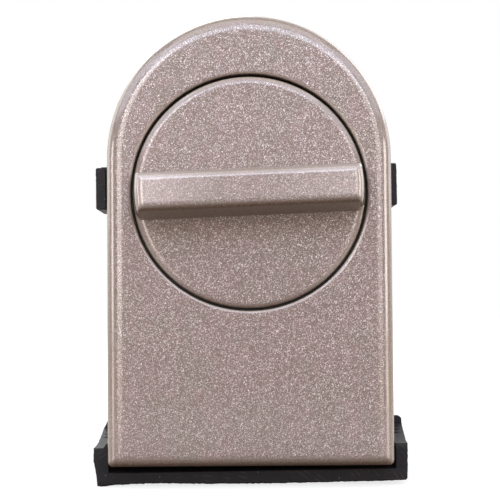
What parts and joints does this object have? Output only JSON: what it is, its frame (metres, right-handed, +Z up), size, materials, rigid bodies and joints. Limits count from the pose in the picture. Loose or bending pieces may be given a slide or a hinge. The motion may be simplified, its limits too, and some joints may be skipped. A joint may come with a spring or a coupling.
{
  "type": "sliding window lock",
  "caption": "Arched clamp-on lock for a sliding window rail, with a round quarter-turn knob, a bar grip and a black moving jaw with a tray foot.",
  "frame": {"origin": "centre of the base, on the surface that the lock stands on", "axes": "+Z up towards the arch, +Y from the knob's face back across the rail slot, +X along the rail to the right"},
  "size_m": [0.0377, 0.0318, 0.0554],
  "materials": {
    "lock_body": "champagne metallic paint with fine glitter over die-cast metal",
    "black_plastic": "black moulded nylon, fine grain, rough gate and parting edges",
    "black_rubber": "matt black rubber",
    "zinc_steel": "bright zinc plated steel",
    "spring_steel": "drawn spring wire",
    "pale_nylon": "natural nylon",
    "cast_zinc": "bare die casting"
  },
  "bodies": {
    "lock_frame": {"housing": "lock_body", "rear_jaw": "lock_body", "knob_bush": "pale_nylon", "stop_pin": "zinc_steel", "spring_washer": "spring_steel", "rear_grip_pad": "black_rubber", "guide_screw_left": "zinc_steel", "guide_screw_right": "zinc_steel", "guide_sleeve_left": "zinc_steel", "guide_sleeve_right": "zinc_steel", "return_spring_left": "spring_steel", "return_spring_right": "spring_steel", "rear_jaw_screw_left": "zinc_steel", "rear_jaw_screw_right": "zinc_steel"},
    "knob_set": {"knob": "lock_body", "spindle": "zinc_steel", "cam": "cast_zinc", "cam_washer": "zinc_steel", "cam_screw": "zinc_steel"},
    "jaw_set": {"moving_jaw": "black_plastic", "jaw_grip_pad": "black_rubber"}
  },
  "joints": [
    {"name": "knob_turn", "type": "hinge", "parent": "lock_frame", "child": "knob_set", "pos_m": [0, -0.0092, 0.03452], "axis": [0, 1, 0], "range_deg": [0, 90]},
    {"name": "jaw_slide", "type": "slide", "parent": "lock_frame", "child": "jaw_set", "axis": [0, 1, 0], "range_m": [0, 0.003], "deforming": ["return_spring_left", "return_spring_right"]}
  ],
  "couplings": [
    {"joint": "jaw_slide", "follows": "knob_turn", "m_per_rad": 0.0019099}
  ]
}
